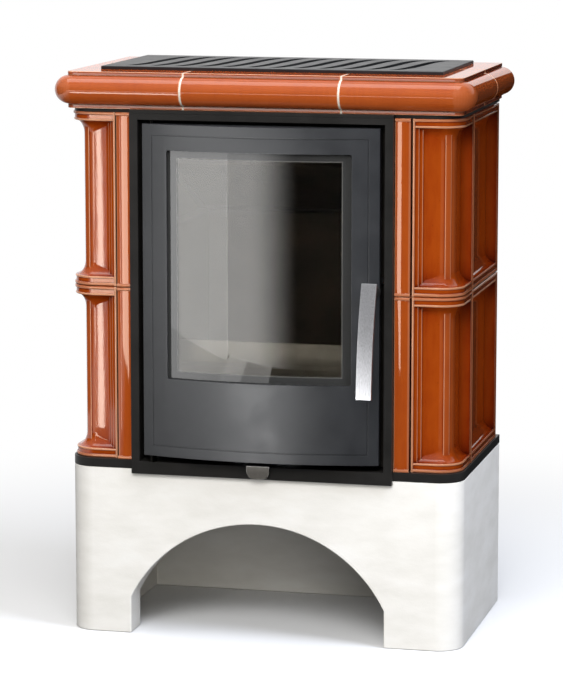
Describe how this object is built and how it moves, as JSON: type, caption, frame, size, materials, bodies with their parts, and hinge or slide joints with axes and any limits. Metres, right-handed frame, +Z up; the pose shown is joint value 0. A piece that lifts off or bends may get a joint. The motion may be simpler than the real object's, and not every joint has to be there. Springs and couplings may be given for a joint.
{
  "type": "tiled wood stove",
  "caption": "Free-standing wood stove: moulded glazed tiles and cornice, bowed glass door, cast top grille, and a rendered plinth with an arched wood store.",
  "frame": {"origin": "on the floor under the middle of the stove", "axes": "+X to the viewer's right, +Y to the back, +Z up; the door faces -Y"},
  "size_m": [0.748, 0.562, 1.003],
  "materials": {
    "lime_render": "matte",
    "black_steel": "satin",
    "amber_glaze": "gloss",
    "grout": "matte",
    "cast_iron": "matte",
    "zinc_sheet": "satin",
    "firebox_steel": "matte",
    "firebrick": "matte",
    "guard_steel": "satin",
    "zinc_fitting": "satin",
    "door_paint": "satin",
    "stove_glass": "polished",
    "glass_rope": "matte",
    "bush_brass": "satin",
    "brushed_handle": "satin",
    "worn_steel": "satin"
  },
  "bodies": {
    "stove": {"plinth": "lime_render", "base_plate": "black_steel", "corner_tile_lower_left": "amber_glaze", "corner_tile_lower_right": "amber_glaze", "corner_tile_upper_left": "amber_glaze", "corner_tile_upper_right": "amber_glaze", "side_tile_lower_left": "amber_glaze", "side_tile_lower_right": "amber_glaze", "side_tile_upper_left": "amber_glaze", "side_tile_upper_right": "amber_glaze", "tile_posts": "zinc_sheet", "top_plate": "black_steel", "cornice_front": "amber_glaze", "cornice_corner_left": "amber_glaze", "cornice_corner_right": "amber_glaze", "cornice_side_left": "amber_glaze", "cornice_side_right": "amber_glaze", "cornice_joints": "grout", "rear_rail": "zinc_sheet", "top_grille": "cast_iron", "back_panel": "zinc_sheet", "front_frame": "black_steel", "firebox_front": "firebox_steel", "firebox_shell": "firebox_steel", "firebox_rails": "zinc_sheet", "air_box": "zinc_sheet", "air_guides": "zinc_sheet", "firebrick_left": "firebrick", "firebrick_right": "firebrick", "firebrick_back": "firebrick", "firebrick_floor": "firebrick", "grate": "cast_iron", "log_guard": "guard_steel", "baffle": "firebrick", "baffle_supports": "firebox_steel", "flue_collar": "firebox_steel", "latch_keeper": "zinc_fitting", "hinge_pins": "zinc_fitting"},
    "door": {"door_frame": "door_paint", "door_glass": "stove_glass", "glass_seal": "glass_rope", "glass_retainers": "door_paint", "retainer_screws": "zinc_fitting", "door_seal": "glass_rope", "handle_bush": "bush_brass", "handle_rosette": "door_paint"},
    "handle": {"handle_bar": "brushed_handle", "handle_shaft": "zinc_fitting", "latch_finger": "zinc_fitting", "finger_nut": "zinc_fitting"},
    "air_control": {"air_lever": "worn_steel", "air_slide": "zinc_sheet"},
    "ash_pan": {"ash_pan": "zinc_sheet"}
  },
  "joints": [
    {"name": "door_hinge", "type": "hinge", "parent": "stove", "child": "door", "pos_m": [-0.195, -0.2, 0.618], "axis": [0, 0, -1], "range_deg": [0, 105]},
    {"name": "handle_turn", "type": "hinge", "parent": "door", "child": "handle", "pos_m": [0.2, -0.19, 0.63], "axis": [0, -1, 0], "range_deg": [-18, 40]},
    {"name": "air_slide_pull", "type": "slide", "parent": "stove", "child": "air_control", "axis": [0, -1, 0], "range_m": [0, 0.02]},
    {"name": "ash_pan_slide", "type": "slide", "parent": "stove", "child": "ash_pan", "axis": [0, -1, 0], "range_m": [0, 0.17]}
  ],
  "couplings": [
    {"joint": "ash_pan_slide", "follows": "door_hinge", "m_per_rad": 0.0927}
  ]
}
